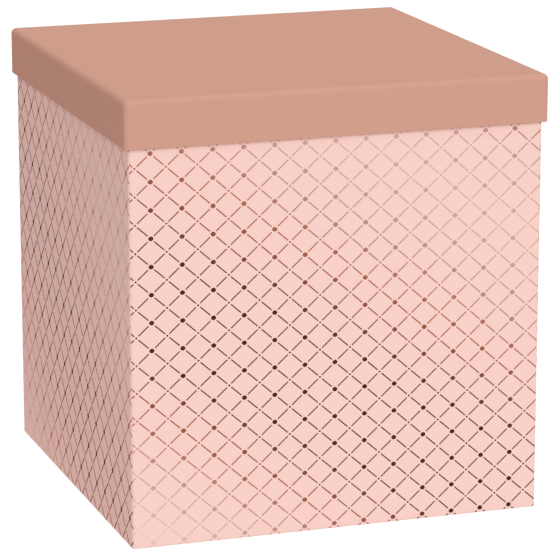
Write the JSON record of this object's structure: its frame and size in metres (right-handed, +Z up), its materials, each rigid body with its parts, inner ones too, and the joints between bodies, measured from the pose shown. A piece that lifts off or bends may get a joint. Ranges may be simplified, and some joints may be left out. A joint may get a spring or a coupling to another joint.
{
  "type": "lidded flower box",
  "caption": "Square rigid paper-wrapped box for a flower gift, with a dotted diamond lattice in foil on its walls and a plain shallow lid that lifts off.",
  "frame": {"origin": "centre of the underside, on the surface the box stands on", "axes": "+Z up, +X to the right and -Y towards the viewer of the front"},
  "size_m": [0.2046, 0.2046, 0.21],
  "materials": {
    "greyboard": "matt",
    "stay_tape": "matt",
    "box_paper": "matt",
    "lattice_foil": "metallic",
    "lid_paper": "matt",
    "lining_paper": "satin",
    "base_paper": "matt"
  },
  "bodies": {
    "box": {"floor_board": "greyboard", "front_wall_board": "greyboard", "back_wall_board": "greyboard", "left_wall_board": "greyboard", "right_wall_board": "greyboard", "box_corner_stay_front_left": "stay_tape", "box_corner_stay_front_right": "stay_tape", "box_corner_stay_back_left": "stay_tape", "box_corner_stay_back_right": "stay_tape", "box_wrap": "box_paper", "base_sheet": "base_paper", "wall_lining": "lining_paper", "floor_lining": "lining_paper"},
    "lid": {"lid_top_board": "greyboard", "lid_front_skirt_board": "greyboard", "lid_back_skirt_board": "greyboard", "lid_left_skirt_board": "greyboard", "lid_right_skirt_board": "greyboard", "lid_corner_stay_front_left": "stay_tape", "lid_corner_stay_front_right": "stay_tape", "lid_corner_stay_back_left": "stay_tape", "lid_corner_stay_back_right": "stay_tape", "lid_wrap": "lid_paper", "lid_lining": "lining_paper"}
  },
  "joints": [
    {"name": "lid_lift", "type": "slide", "parent": "box", "child": "lid", "axis": [0, 0, 1], "range_m": [0, 0.12]}
  ]
}
